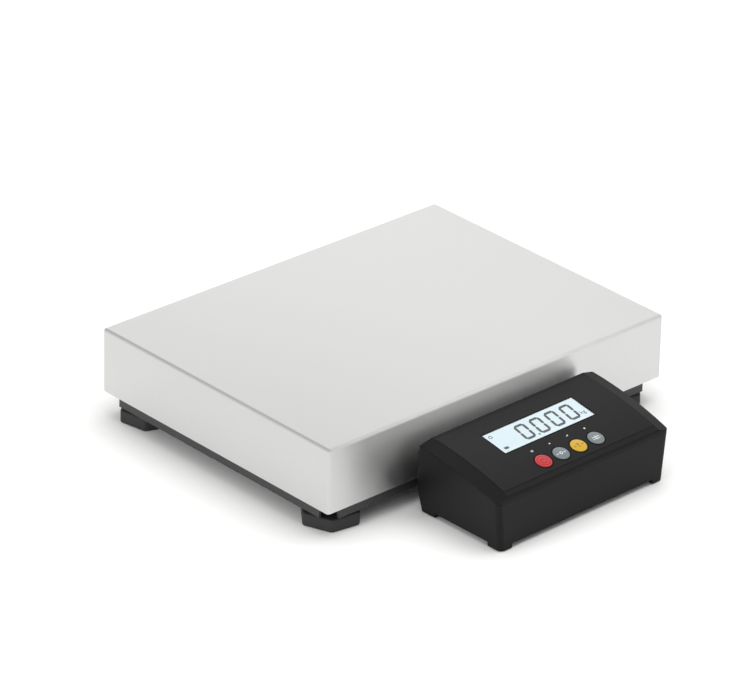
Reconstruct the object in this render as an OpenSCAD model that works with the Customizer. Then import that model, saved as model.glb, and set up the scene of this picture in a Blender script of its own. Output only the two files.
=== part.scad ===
// Electronic bench scale: a stainless load pan on a single-point load cell platform,
// with a separate desk-top indicator that stands in front of it.

/* [Platform] */
// Width of the load pan, left to right
pan_w = 400; // [320:1:500]
// Depth of the load pan, front to back
pan_d = 300; // [260:1:400]
// Height of the pan's skirt, top face to lower edge
pan_h = 62; // [52:1:80]
// Thickness of the stainless pan sheet
pan_t = 1.2; // [0.8:0.1:2]
// Outer bend radius along the pan's top edges and down its corners
pan_bend = 3; // [1.5:0.1:4]
// Gap from the table to the pan's lower edge
pan_clearance = 25.5; // [20:0.5:32]

/* [Base] */
// Thickness of the folded base plate
base_t = 2.5; // [2:0.1:4]
// Distance from the pan's outer face in to the base flange
base_inset = 5; // [4:0.5:12]
// Depth of the turned-down base flange
flange_h = 13; // [8:0.5:16]
// Depth of the stiffening channels under the base plate
channel_h = 11; // [6:0.5:14]
// Width of each stiffening channel
channel_w = 36; // [24:1:40]

/* [Levelling feet] */
// Distance from the pan's outer faces to a foot's centre
foot_inset = 30; // [28:0.5:50]
// Circumradius of the six-sided foot
foot_r = 28; // [20:0.5:32]
// Height of the foot, table to its top face
foot_h = 12.5; // [10:0.5:13]
// Corner radius of the six-sided foot
foot_corner_r = 4; // [2:0.5:6]
// Radius of the foot's threaded stud
stud_r = 5; // [4:0.5:6]
// Length of the stud above the foot's underside
stud_len = 49; // [45:1:53]

/* [Load cell] */
// Length of the load cell's aluminium block
cell_l = 150; // [120:1:180]
// Width of the load cell's block
cell_w = 40; // [30:1:60]
// Height of the load cell's block
cell_h = 22; // [18:0.5:24]
// Thickness of the spacer under the fixed end
lower_spacer_t = 6; // [4:0.5:8]
// Thickness of the spacer on the loaded end
upper_spacer_t = 3; // [2:0.5:5]
// Radius of the load cell's bolts
cell_bolt_r = 3; // [2.5:0.5:4]

/* [Top frame] */
// Thickness of the plate on the load cell
top_plate_t = 5; // [4:0.5:8]
// Length of the top plate, left to right
top_plate_l = 130; // [100:1:160]
// Length of each rail under the pan
rail_l = 350; // [250:1:380]
// Width of a rail
rail_w = 25; // [20:1:30]
// Distance from the pan's centre line to each rail's centre
rail_y = 92; // [80:1:110]
// Wall of a rail's tube
rail_t = 1.5; // [1:0.1:3]
// Radius of the rubber bumpers under the pan
bumper_r = 9; // [6:0.5:11]
// Height of a bumper above its rail
bumper_h = 6; // [4:0.5:9]
// Gap left for the overload stops
stop_gap = 0.8; // [0.6:0.1:2]

/* [Indicator] */
// Width of the indicator across its base
ind_w = 200; // [180:1:240]
// Depth of the indicator at its bulging back
ind_d = 101; // [96:1:130]
// Height of the joint between the shells at the front
ind_front_h = 46.7; // [44:0.1:60]
// Height of the joint between the shells at the back
ind_back_h = 66.2; // [62:0.1:80]
// How far each side leans out over the front height
ind_lean = 4; // [0:0.5:6]
// Rise of the lid's face above the joint
lid_rise = 5; // [4.5:0.1:8]
// Radius of the lid's curved profile at the joint
lid_r = 390; // [300:5:600]
// Width of the sloping band on each side of the face
band_w = 12; // [8:0.5:16]
// Wall of both shells
shell_t = 2.5; // [2:0.1:3.5]
// Radius of the front vertical corners
ind_corner_r = 5; // [3:0.5:8]
// Height of the corner legs, pads included
leg_h = 5; // [4:0.5:8]
// Gap on the table between the indicator's back and the pan's front face
ind_gap = 8; // [7:0.5:150]
// Sideways place of the indicator's centre from the pan's centre
ind_x = -1.8; // [-60:0.1:60]
// Turn of the indicator on the table, degrees
ind_turn = 1; // [-5:0.5:5]

/* [Display and keys] */
// Width of the display window
win_w = 109; // [80:1:130]
// Height of the display window along the face
win_h = 29.5; // [24:0.5:34]
// Distance of the window's centre from the front, along the base
win_s = 57.5; // [54:0.5:64]
// Radius of a key
key_r = 7.7; // [6:0.1:8.5]
// Pitch of the keys
key_pitch = 21.3; // [20:0.1:25]
// Distance of the keys from the front, along the base
key_s = 19; // [17:0.5:24]
// Travel of a key
key_travel = 0.4; // [0.2:0.05:0.8]

/* [Hidden] */
$fn = 48;
gap = 0.05;
eps = 0.01;

// platform heights, measured up from the table
pan_top_z = pan_clearance + pan_h;
pan_under_z = pan_top_z - pan_t;
base_bottom_z = pan_clearance + 1.5;
base_top_z = base_bottom_z + base_t;
cell_z = base_top_z + lower_spacer_t;
cell_top_z = cell_z + cell_h;
top_plate_z = cell_top_z + upper_spacer_t;
rail_z = top_plate_z + top_plate_t;
rail_top_z = pan_under_z - bumper_h;
rail_h = rail_top_z - rail_z;

// plan of the platform
base_w = pan_w - 2 * base_inset;
base_d = pan_d - 2 * base_inset;
foot_x = pan_w / 2 - foot_inset;
foot_y = pan_d / 2 - foot_inset;
flange_relief = 12;
bumper_x = rail_l / 2 - 16;
bumper_stem_r = 3;
bumper_stem_l = 2;
stop_x = bumper_x - 32;
stop_r = 4;
stop_nut_r = 7.5;
stop_nut_h = 6;
weld_nut_r = 10.5;
weld_nut_h = 8;
jam_nut_h = 5;
cell_hole_x = cell_l / 2 - 12;
cell_hole_pitch = 25;
cell_hole_y = cell_w / 2 - 9;
bolt_head_r = 1.9 * cell_bolt_r;
bolt_head_h = 1.3 * cell_bolt_r;
bolt_bite = 14;
spacer_l = 46;
ring_t = 1.5;
ring_h = bumper_h - 2;
rib_y = 46;
rib_w = 34;
rib_h = 9;
rib_l = pan_w - 110;
rib_t = 1.2;
cap_plug_l = 8;
cap_flange_t = 1.5;
plate_corner_r = 4;
base_corner_r = 6;
cover_t = 1.5;
bolt_play = 0.3;
channel_y = 58;
channel_l = base_w - 95;
channel_t = 2;
grommet_x = -60;
grommet_y = base_d / 2 - 26;
grommet_r = 8;
grommet_neck_r = grommet_r - 2;
grommet_lip = 1.5;
cord_slot = [10, 10, 9];
cord_r = 3;
level_x = 110;
level_y = 30;
level_r = 12;
level_h = 9;
level_wall = 2;
stud_seat = 5;
foot_turns = [51, 47, 20, 40];
foot_places = [[-1, -1], [1, -1], [1, 1], [-1, 1]];

// indicator: y runs back from the front face, z up from the table
pad_h = 1;
pad_r = 5.5;
pad_inset = 7.5;
leg_l = 16;
floor_t = 3;
floor_z = leg_h + floor_t;
lean_deg = atan(ind_lean / (ind_front_h - leg_h));
back_r = 124;
back_z = 34;
back_corner_r = 9;
back_y = ind_d - back_r;
back_seam_y = back_y + sqrt(back_r * back_r - pow(ind_back_h - back_z, 2));
chord = [back_seam_y, ind_back_h - ind_front_h];
chord_len = norm(chord);
centre_drop = sqrt(lid_r * lid_r - chord_len * chord_len / 4);
lid_cy = chord[0] / 2 + centre_drop * chord[1] / chord_len;
lid_cz = ind_front_h + chord[1] / 2 - centre_drop * chord[0] / chord_len;
seam_gap = 0.3;
overlay_t = 0.3;
face_r = lid_r + lid_rise;
lid_face_r = face_r - overlay_t;
lid_inner_r = lid_face_r - shell_t;
lid_edge = 1.5;
face_w = ind_w + 2 * ind_lean - 2 * band_w;
edge_roll = 4;
post_x = ind_w / 2 - 13;
post_front_y = 13;
post_back_y = back_seam_y - 13;
boss_r = 4.5;
boss_top = floor_z + 9;
screw_r = 1.5;
screw_head_r = 2.9;
board_drop = 12.5;
board_t = 1.6;
holder_top = -3.9;
glass_t = 2;
light_t = 4;
window_t = 2;
window_sunk = 0.5;
key_proud = 0.5;
key_flange_t = 1;
key_flange_w = 1.2;
key_stem_r = 2.5;
switch = [6, 6, 3.5];
plunger_r = 1.7;
plunger_top = 4.1;
board_post_r = 3;
board_screw_r = 1;
buzzer_r = 6;
buzzer_h = 7;
battery = [97, 52, 24];
battery_y = 58;
door = [104, 58, 1.5];
door_travel = 7;
inlet_x = -62;
inlet_z = 16.5;
jack_x = 62;
jack_z = 18;
jack = [9, 12, 10];
jack_nose_r = 3.9;
jack_bore_r = 2.8;
inlet_r = 6;
inlet_hex_r = 7;
inlet_nut_r = 7.6;
half_turn_term = (ind_w / 2 + ind_lean - ind_corner_r) * sin(abs(ind_turn));
corner_term = ind_corner_r * (1 - cos(ind_turn));
depth_all = pan_d + ind_gap + ind_d + half_turn_term + corner_term;
pan_y = depth_all / 2 - pan_d / 2;
ind_y = pan_y - pan_d / 2 - ind_gap - ind_d;

// ---------- shared shapes ----------

// moves its children to the pan's centre
module at_platform() {
  translate([0, pan_y, 0]) children();
}

// moves its children to the indicator's front centre
module at_indicator() {
  translate([ind_x, ind_y, 0]) rotate([0, 0, ind_turn]) children();
}

// one copy of the children in each quarter
module at_quarters(x, y) {
  for (sx = [-1, 1], sy = [-1, 1]) translate([sx * x, sy * y, 0]) children();
}

// one copy of the children at each place of a foot
module at_feet() {
  for (p = foot_places) translate([p[0] * foot_x, p[1] * foot_y, 0]) children();
}

// centred box that stands on z = 0
module slab(size) {
  translate([-size[0] / 2, -size[1] / 2, 0]) cube(size);
}

// rectangle with round corners, centred
module round_rect(w, d, r) {
  square([w - 2 * r, d], center = true);
  square([w, d - 2 * r], center = true);
  for (sx = [-1, 1], sy = [-1, 1]) {
    translate([sx * (w / 2 - r), sy * (d / 2 - r)]) circle(r);
  }
}

// rectangle on the x axis with its two upper corners round
module arch(w, h, r) {
  translate([-w / 2, 0]) square([w, h - r]);
  translate([-w / 2 + r, 0]) square([w - 2 * r, h]);
  for (s = [-1, 1]) translate([s * (w / 2 - r), h - r]) circle(r);
}

// block with round top edges and round upright corners
module pressed_block(w, d, h, r) {
  intersection() {
    translate([0, d / 2, 0]) rotate([90, 0, 0]) linear_extrude(d) arch(w, h, r);
    translate([-w / 2, 0, 0]) rotate([90, 0, 90]) linear_extrude(w) arch(d, h, r);
    linear_extrude(h) round_rect(w, d, r);
  }
}

// six-sided nut with a plain hole
module nut(r, h, hole_r) {
  difference() {
    cylinder(h = h, r = r, $fn = 6);
    translate([0, 0, -1]) cylinder(h = h + 2, r = hole_r);
  }
}

// six-sided head over a round shank that points down
module bolt(shank, r, head_r, head_h) {
  translate([0, 0, -shank]) cylinder(h = shank, r = r);
  cylinder(h = head_h, r = head_r, $fn = 6);
}

// ---------- pan ----------

module pan() {
  color("gainsboro") at_platform() translate([0, 0, pan_clearance]) difference() {
    pressed_block(pan_w, pan_d, pan_h, pan_bend);
    translate([0, 0, -1]) pressed_block(pan_w - 2 * pan_t, pan_d - 2 * pan_t,
                                        pan_h - pan_t + 1, pan_bend - pan_t + 0.2);
  }
}

module pan_ribs() {
  color("silver") at_platform() for (s = [-1, 1]) {
    translate([0, s * rib_y, pan_under_z - rib_h]) difference() {
      slab([rib_l, rib_w, rib_h]);
      translate([0, 0, rib_t]) slab([rib_l + 2, rib_w - 2 * rib_t, rib_h]);
    }
  }
}

module pan_rings() {
  color("silver") at_platform() at_quarters(bumper_x, rail_y) {
    translate([0, 0, pan_under_z - ring_h]) difference() {
      cylinder(h = ring_h, r = bumper_r + 1 + ring_t);
      translate([0, 0, -1]) cylinder(h = ring_h + 2, r = bumper_r + 1);
    }
  }
}

// ---------- top frame ----------

module pan_bumpers() {
  color("dimgray") at_platform() at_quarters(bumper_x, rail_y) {
    translate([0, 0, rail_top_z]) cylinder(h = bumper_h, r = bumper_r);
    translate([0, 0, rail_top_z - rail_t - bumper_stem_l]) {
      cylinder(h = rail_t + bumper_stem_l + eps, r = bumper_stem_r);
    }
  }
}

module top_rails() {
  color("slategray") at_platform() for (s = [-1, 1]) {
    translate([0, s * rail_y, rail_z]) difference() {
      slab([rail_l, rail_w, rail_h]);
      translate([0, 0, rail_t]) slab([rail_l + 2, rail_w - 2 * rail_t, rail_h - 2 * rail_t]);
      for (sx = [-1, 1]) translate([sx * bumper_x, 0, rail_h / 2]) {
        cylinder(h = rail_h, r = bumper_stem_r + gap);
      }
    }
  }
}

module rail_caps() {
  color("black") at_platform() for (sx = [-1, 1], sy = [-1, 1]) {
    translate([sx * rail_l / 2, sy * rail_y, rail_z]) {
      translate([sx * cap_flange_t / 2, 0, 0]) slab([cap_flange_t, rail_w, rail_h]);
      translate([-sx * cap_plug_l / 2, 0, rail_t + gap]) {
        slab([cap_plug_l, rail_w - 2 * rail_t - 2 * gap, rail_h - 2 * rail_t - 2 * gap]);
      }
    }
  }
}

// the bolt holes over the loaded end of the cell
module at_cell_bolts(end) {
  for (dx = [0, cell_hole_pitch], sy = [-1, 1]) {
    translate([end * (cell_hole_x - dx), sy * cell_hole_y, 0]) children();
  }
}

module top_plate() {
  color("slategray") at_platform() difference() {
    translate([0, 0, top_plate_z]) linear_extrude(top_plate_t) {
      round_rect(top_plate_l, 2 * rail_y + rail_w, plate_corner_r);
      translate([cell_hole_x - spacer_l / 4, 0]) {
        round_rect(spacer_l + 8, cell_w + 16, plate_corner_r);
      }
    }
    translate([0, 0, top_plate_z - 1]) at_cell_bolts(1) {
      cylinder(h = top_plate_t + 2, r = cell_bolt_r + bolt_play);
    }
  }
}

module spacer(end, z, t) {
  difference() {
    translate([end * (cell_l / 2 - spacer_l / 2), 0, z]) slab([spacer_l, cell_w, t]);
    translate([0, 0, z - 1]) at_cell_bolts(end) cylinder(h = t + 2, r = cell_bolt_r + bolt_play);
  }
}

module upper_spacer() {
  color("silver") at_platform() spacer(1, cell_top_z, upper_spacer_t);
}

module cell_top_bolts() {
  color("silver") at_platform() at_cell_bolts(1) translate([0, 0, rail_z]) {
    bolt(top_plate_t + upper_spacer_t + bolt_bite, cell_bolt_r, bolt_head_r, bolt_head_h);
  }
}

// ---------- load cell ----------

// two joined round pockets that leave thin bending flexures
module cell_pocket() {
  pocket_r = cell_h / 2 - 2.5;
  neck = cell_l / 2 - 50;
  translate([0, cell_w / 2 + 1, cell_h / 2]) rotate([90, 0, 0]) linear_extrude(cell_w + 2) {
    for (s = [-1, 1]) translate([s * neck, 0]) circle(pocket_r);
    square([2 * neck, pocket_r], center = true);
  }
}

module load_cell() {
  color("lightsteelblue") at_platform() difference() {
    translate([0, 0, cell_z]) difference() {
      slab([cell_l, cell_w, cell_h]);
      cell_pocket();
    }
    translate([0, 0, cell_top_z - bolt_bite - 1]) at_cell_bolts(1) {
      cylinder(h = bolt_bite + 2, r = cell_bolt_r + gap);
    }
    translate([0, 0, cell_z - 1]) at_cell_bolts(-1) cylinder(h = bolt_bite + 2, r = cell_bolt_r + gap);
  }
}

module cell_cover() {
  cover = cell_l / 2 - 10;
  color("white") at_platform() for (s = [-1, 1]) {
    translate([0, s * (cell_w + cover_t) / 2, cell_z + 2]) slab([cover, cover_t, cell_h - 4]);
  }
}

module lower_spacer() {
  color("silver") at_platform() spacer(-1, base_top_z, lower_spacer_t);
}

module cell_base_bolts() {
  color("silver") at_platform() at_cell_bolts(-1) translate([0, 0, base_bottom_z]) {
    mirror([0, 0, 1]) {
      bolt(base_t + lower_spacer_t + bolt_bite, cell_bolt_r, bolt_head_r, bolt_head_h);
    }
  }
}

// ---------- base ----------

// a flange along one edge, turned down from the plate
module flange(length) {
  translate([-length / 2, 0, -flange_h]) cube([length, base_t, flange_h + base_t]);
}

module base_plate() {
  long = base_w - 2 * flange_relief;
  short = base_d - 2 * flange_relief;
  color([0.13, 0.13, 0.14]) at_platform() difference() {
    union() {
      translate([0, 0, base_bottom_z]) linear_extrude(base_t) round_rect(base_w, base_d, base_corner_r);
      for (turn = [0, 180]) rotate([0, 0, turn]) {
        translate([0, -base_d / 2, base_bottom_z]) flange(long);
        translate([base_w / 2, 0, base_bottom_z]) rotate([0, 0, 90]) flange(short);
      }
    }
    translate([0, 0, base_bottom_z - 1]) {
      at_feet() cylinder(h = base_t + 2, r = stud_r + gap);
      at_quarters(stop_x, rail_y) cylinder(h = base_t + 2, r = stop_r + gap);
      at_cell_bolts(-1) cylinder(h = base_t + 2, r = cell_bolt_r + bolt_play);
      translate([grommet_x, grommet_y, 0]) cylinder(h = base_t + 2, r = grommet_neck_r);
    }
    translate([grommet_x, base_d / 2, base_bottom_z - flange_h - 1]) slab(cord_slot);
  }
}

module base_channels() {
  color([0.13, 0.13, 0.14]) at_platform() for (s = [-1, 1]) {
    translate([0, s * channel_y, base_bottom_z - channel_h]) difference() {
      slab([channel_l, channel_w, channel_h]);
      translate([0, 0, -channel_t]) slab([channel_l + 2, channel_w - 2 * channel_t, channel_h]);
    }
  }
}

module stop_screws() {
  top = rail_z - stop_gap;
  color("silver") at_platform() at_quarters(stop_x, rail_y) {
    translate([0, 0, base_bottom_z - 3]) cylinder(h = top - base_bottom_z + 3, r = stop_r);
  }
}

module stop_nuts() {
  color("silver") at_platform() at_quarters(stop_x, rail_y) {
    translate([0, 0, base_top_z]) nut(stop_nut_r, stop_nut_h, stop_r + gap);
  }
}

module weld_nuts() {
  color("silver") at_platform() at_feet() translate([0, 0, base_top_z]) {
    nut(weld_nut_r, weld_nut_h, stud_r + gap);
  }
}

module jam_nuts() {
  color("gold") at_platform() at_feet() translate([0, 0, base_top_z + weld_nut_h]) {
    nut(weld_nut_r - 1, jam_nut_h, stud_r + gap);
  }
}

module level_body() {
  color("black") at_platform() translate([level_x, level_y, base_top_z]) difference() {
    cylinder(h = level_h, r = level_r);
    translate([0, 0, level_wall]) cylinder(h = level_h, r = level_r - level_wall);
  }
}

module level_vial() {
  color("yellowgreen") at_platform() translate([level_x, level_y, base_top_z + level_wall]) {
    cylinder(h = level_h - level_wall - 0.5, r = level_r - level_wall);
  }
}

module cable_grommet() {
  color("black") at_platform() translate([grommet_x, grommet_y, base_bottom_z]) difference() {
    union() {
      translate([0, 0, -grommet_lip]) cylinder(h = grommet_lip, r = grommet_r);
      cylinder(h = base_t, r = grommet_neck_r);
      translate([0, 0, base_t]) cylinder(h = grommet_lip, r = grommet_r);
    }
    translate([0, 0, -3]) cylinder(h = base_t + 6, r = cord_r);
  }
}

// ---------- levelling feet ----------

// six-sided outline with round corners, one corner pointing out of the platform
module foot_outline() {
  r = foot_r - foot_corner_r / cos(30);
  hull() for (k = [0 : 5]) {
    rotate(60 * k) translate([r + foot_corner_r * (1 / cos(30) - 1), 0]) circle(foot_corner_r);
  }
}

// the pad with a seat for its stud
module foot(i) {
  p = foot_places[i];
  color([0.1, 0.1, 0.11]) at_platform() translate([p[0] * foot_x, p[1] * foot_y, 0]) difference() {
    rotate([0, 0, foot_turns[i]]) linear_extrude(foot_h) foot_outline();
    translate([0, 0, stud_seat]) cylinder(h = foot_h, r = stud_r + gap);
  }
}

module foot_stud(i) {
  p = foot_places[i];
  color("silver") at_platform() translate([p[0] * foot_x, p[1] * foot_y, stud_seat]) {
    cylinder(h = stud_len - stud_seat, r = stud_r);
  }
}

module foot_stud_1() { foot_stud(0); }
module foot_stud_2() { foot_stud(1); }
module foot_stud_3() { foot_stud(2); }
module foot_stud_4() { foot_stud(3); }
module foot_1() { foot(0); }
module foot_2() { foot(1); }
module foot_3() { foot(2); }
module foot_4() { foot(3); }

// ---------- indicator housing ----------

// half width of the housing at a height
function half_w(z) = ind_w / 2 + (z - leg_h) * tan(lean_deg);

// upright slab with leaning sides, drawn in x and z
module leaning_outline(inset) {
  lo = -10;
  hi = 100;
  polygon([[-half_w(lo) + inset, lo], [half_w(lo) - inset, lo],
           [half_w(hi) - inset, hi], [-half_w(hi) + inset, hi]]);
}

// upright prism with leaning sides, from a distance behind the front face to past the back
module leaning_prism(inset, front) {
  translate([0, ind_d + 5, 0]) rotate([90, 0, 0]) linear_extrude(ind_d + 5 - front) {
    leaning_outline(inset / cos(lean_deg));
  }
}

// the bulging back and the round upright corners at the back, moved in by t
module back_form(t) {
  reach = ind_d + 1 - t;
  intersection() {
    translate([-ind_w, back_y, back_z]) rotate([0, 90, 0]) {
      cylinder(h = 2 * ind_w, r = back_r - t, $fn = 240);
    }
    translate([0, 0, -20]) linear_extrude(140) {
      round_rect(2 * half_w(ind_back_h) - 2 * t, 2 * reach, back_corner_r);
    }
  }
}

// the housing's outer form, with no top or bottom
module housing() {
  r = ind_corner_r;
  intersection() {
    union() {
      leaning_prism(0, r);
      leaning_prism(r, 0);
      for (s = [-1, 1]) translate([s * (half_w(0) - r / cos(lean_deg)), r, 0]) {
        rotate([0, s * lean_deg, 0]) translate([0, 0, -20]) cylinder(h = 130, r = r);
      }
    }
    back_form(0);
  }
}

// the space inside the housing's walls
module housing_space(t) {
  intersection() {
    leaning_prism(t, t);
    back_form(t);
  }
}

// disc about the lid's centre line, between two sideways stations
module lid_disc(r1, r2, x1, x2) {
  translate([x1, lid_cy, lid_cz]) rotate([0, 90, 0]) cylinder(h = x2 - x1, r1 = r1, r2 = r2, $fn = 240);
}

// the lid's crowned top: level across the face, sloping over the side bands
module crown(r) {
  run = 16;
  drop = (lid_rise - lid_edge) / band_w * run;
  lid_disc(r, r, -face_w / 2, face_w / 2);
  lid_disc(r - drop, r, -face_w / 2 - run, -face_w / 2);
  lid_disc(r, r - drop, face_w / 2, face_w / 2 + run);
}

// children placed on the face at distance s from the front, z along the face's normal
module on_face(s) {
  tilt = asin((lid_cy - s) / face_r);
  translate([0, lid_cy, lid_cz]) rotate([tilt, 0, 0]) translate([0, 0, face_r]) children();
}

// places of the screw posts
module at_posts() {
  for (s = [-1, 1], y = [post_front_y, post_back_y]) translate([s * post_x, y, 0]) children();
}

// the places of the keys across the face
module at_keys() {
  on_face(key_s) for (k = [-1.5 : 1 : 1.5]) translate([k * key_pitch, 0, 0]) children();
}

module bottom_shell() {
  color([0.17, 0.17, 0.18]) at_indicator() difference() {
    union() {
      difference() {
        intersection() {
          housing();
          lid_disc(lid_r, lid_r, -ind_w, ind_w);
          translate([-ind_w, -1, pad_h]) cube([2 * ind_w, ind_d + 2, 200]);
        }
        intersection() {
          housing_space(shell_t);
          translate([-ind_w, -1, floor_z]) cube([2 * ind_w, ind_d + 2, 200]);
        }
      }
      at_posts() translate([0, 0, floor_z - eps]) cylinder(h = boss_top - floor_z, r = boss_r);
    }
    translate([0, -1, -1]) slab_y(ind_w - 2 * leg_l + 4, ind_d + 2, leg_h + 1);
    translate([0, leg_l, -1]) slab_y(2 * ind_w, back_seam_y - 2 * leg_l, leg_h + 1);
    at_posts() {
      translate([0, 0, -1]) cylinder(h = boss_top + 2, r = screw_r + 0.2);
      translate([0, 0, -1]) cylinder(h = boss_top - 3, r = screw_head_r + 0.3);
    }
    battery_bay();
    translate([inlet_x, ind_d - 15, inlet_z]) rotate([-90, 0, 0]) {
      cylinder(h = 30, r = inlet_r + gap);
    }
    translate([jack_x, ind_d - 15, jack_z]) rotate([-90, 0, 0]) {
      cylinder(h = 30, r = jack_nose_r + 0.1);
    }
  }
}

// box centred in x that starts at y = 0 and z = 0
module slab_y(w, d, h) {
  translate([-w / 2, 0, 0]) cube([w, d, h]);
}

module battery_bay() {
  translate([0, battery_y - battery[1] / 2 + 2, leg_h - 1]) {
    slab_y(battery[0] - 4, battery[1] - 4, floor_t + 2);
  }
  translate([0, battery_y - door[1] / 2 - 0.2, leg_h - 1]) {
    slab_y(door[0] + 0.4, door[1] + door_travel + 0.4, door[2] + 1.15);
  }
}

module lid() {
  color([0.16, 0.16, 0.17]) at_indicator() difference() {
    union() {
      difference() {
        intersection() {
          housing();
          crown(lid_face_r);
          lid_front_roll();
        }
        lid_disc(lid_r + seam_gap, lid_r + seam_gap, -ind_w, ind_w);
        intersection() {
          housing_space(shell_t + 0.5);
          lid_disc(lid_inner_r, lid_inner_r, -face_w / 2 + 2, face_w / 2 - 2);
        }
      }
      lid_posts();
    }
    on_face(win_s) translate([0, 0, -10]) slab([win_w + 0.4, win_h + 0.4, 20]);
    at_keys() translate([0, 0, -10]) cylinder(h = 20, r = key_r + 0.2);
    at_posts() translate([0, 0, boss_top]) cylinder(h = 12, r = screw_r + gap);
  }
}

// rounds the lid's front edge back from the front face
module lid_front_roll() {
  r = edge_roll + lid_rise;
  z0 = ind_front_h + lid_edge;
  union() {
    translate([-ind_w, edge_roll, -1]) cube([2 * ind_w, 200, 200]);
    translate([-ind_w, 0, -1]) cube([2 * ind_w, edge_roll + 1, z0 + 1]);
    intersection() {
      translate([-ind_w, r, z0 - 1]) rotate([0, 90, 0]) cylinder(h = 2 * ind_w, r = r);
      translate([-ind_w, 0, z0 - 1]) cube([2 * ind_w, edge_roll + 1, 20]);
    }
  }
}

// screw posts and board posts under the lid, cut off by its underside
module lid_posts() {
  intersection() {
    union() {
      at_posts() translate([0, 0, boss_top + 0.2]) cylinder(h = 80, r = boss_r - 0.5);
      on_face(win_s) at_quarters(win_w / 2 + 11, win_h / 2 + 1) board_post();
      on_face(key_s) at_quarters(1.5 * key_pitch + 15, 6) board_post();
    }
    lid_disc(lid_inner_r + 1, lid_inner_r + 1, -ind_w, ind_w);
  }
}

// hollow post from the lid down to a circuit board
module board_post() {
  translate([0, 0, -board_drop]) difference() {
    cylinder(h = board_drop, r = board_post_r);
    translate([0, 0, -1]) cylinder(h = 7, r = board_screw_r + gap);
  }
}

module face_overlay() {
  margin = 0.5;
  color([0.12, 0.12, 0.13]) at_indicator() difference() {
    intersection() {
      lid_disc(face_r, face_r, -face_w / 2 + margin, face_w / 2 - margin);
      translate([0, edge_roll + 3, 0]) slab_y(ind_w, back_seam_y - edge_roll - 9, 200);
    }
    lid_disc(lid_face_r, lid_face_r, -ind_w, ind_w);
    on_face(win_s) translate([0, 0, -10]) slab([win_w + 0.4, win_h + 0.4, 20]);
    at_keys() translate([0, 0, -10]) cylinder(h = 20, r = key_r + 0.3);
  }
}

// ---------- display and electronics ----------

module display_window() {
  color([0.8, 0.9, 0.95, 0.5]) at_indicator() on_face(win_s) {
    translate([0, 0, -window_sunk - window_t]) slab([win_w, win_h, window_t]);
  }
}

module lcd_glass() {
  color("lightcyan") at_indicator() on_face(win_s) {
    translate([0, 0, holder_top - glass_t]) slab([win_w + 3, win_h + 4, glass_t]);
  }
}

module lcd_backlight() {
  color("white") at_indicator() on_face(win_s) {
    translate([0, 0, holder_top - glass_t - light_t]) slab([win_w + 3, win_h + 4, light_t]);
  }
}

module lcd_holder() {
  color("black") at_indicator() on_face(win_s) difference() {
    translate([0, 0, -board_drop]) slab([win_w + 9, win_h + 8, board_drop + holder_top]);
    translate([0, 0, -board_drop - 1]) slab([win_w + 3.2, win_h + 4.2, board_drop + 2]);
  }
}

// circuit board with its four screw holes
module board(size, hole_x, hole_y) {
  difference() {
    slab([size[0], size[1], board_t]);
    at_quarters(hole_x, hole_y) translate([0, 0, -1]) {
      cylinder(h = board_t + 2, r = board_screw_r + 0.2);
    }
  }
}

module display_board() {
  color("seagreen") at_indicator() on_face(win_s) translate([0, 0, -board_drop - board_t]) {
    board([win_w + 30, win_h + 12], win_w / 2 + 11, win_h / 2 + 1);
  }
}

module key_board() {
  color("seagreen") at_indicator() on_face(key_s) translate([0, 0, -board_drop - board_t]) {
    board([3 * key_pitch + 38, 19], 1.5 * key_pitch + 15, 6);
  }
}

module key_switches() {
  color("dimgray") at_indicator() at_keys() translate([0, 0, -board_drop]) {
    slab(switch);
    cylinder(h = plunger_top, r = plunger_r);
  }
}

// one key: a cap through the lid, a flange that keeps it in, and a stem to its switch
module key(k) {
  flange_z = -shell_t - overlay_t - 0.3;
  stem_end = -board_drop + plunger_top + gap + key_travel;
  on_face(key_s) translate([(k - 1.5) * key_pitch, 0, 0]) {
    translate([0, 0, flange_z]) cylinder(h = key_proud - flange_z, r = key_r);
    translate([0, 0, flange_z - key_flange_t]) {
      cylinder(h = key_flange_t + eps, r = key_r + key_flange_w);
    }
    translate([0, 0, stem_end]) cylinder(h = flange_z - stem_end, r = key_stem_r);
  }
}

module key_power() { color([0.9, 0.2, 0.22]) at_indicator() key(0); }
module key_zero() { color([0.58, 0.6, 0.62]) at_indicator() key(1); }
module key_tare() { color([0.96, 0.78, 0.12]) at_indicator() key(2); }
module key_mode() { color([0.58, 0.6, 0.62]) at_indicator() key(3); }

module buzzer() {
  color("black") at_indicator() on_face(win_s) translate([0, 0, -board_drop - board_t - buzzer_h]) {
    difference() {
      cylinder(h = buzzer_h, r = buzzer_r);
      translate([0, 0, -1]) cylinder(h = 3, r = 1);
    }
  }
}

module battery_pack() {
  color("darkslategray") at_indicator() {
    translate([0, battery_y - battery[1] / 2, floor_z + 0.1]) slab_y(battery[0], battery[1], battery[2]);
  }
}

module battery_door() {
  color([0.14, 0.14, 0.15]) at_indicator() {
    translate([0, battery_y - door[1] / 2, leg_h + 0.1]) difference() {
      slab_y(door[0], door[1], door[2]);
      for (k = [0 : 2]) translate([0, 6 + 3 * k, -0.5]) slab_y(24, 1.2, 1);
    }
  }
}

module dc_jack() {
  wall_in = ind_d - shell_t - 2.2;
  color("black") at_indicator() translate([jack_x, 0, jack_z]) difference() {
    union() {
      translate([0, wall_in - jack[1], -jack[2] / 2]) slab_y(jack[0], jack[1], jack[2]);
      translate([0, wall_in - 1, 0]) rotate([-90, 0, 0]) cylinder(h = 2.6, r = jack_nose_r);
    }
    translate([0, wall_in - 8, 0]) rotate([-90, 0, 0]) cylinder(h = 20, r = jack_bore_r);
  }
}

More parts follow.
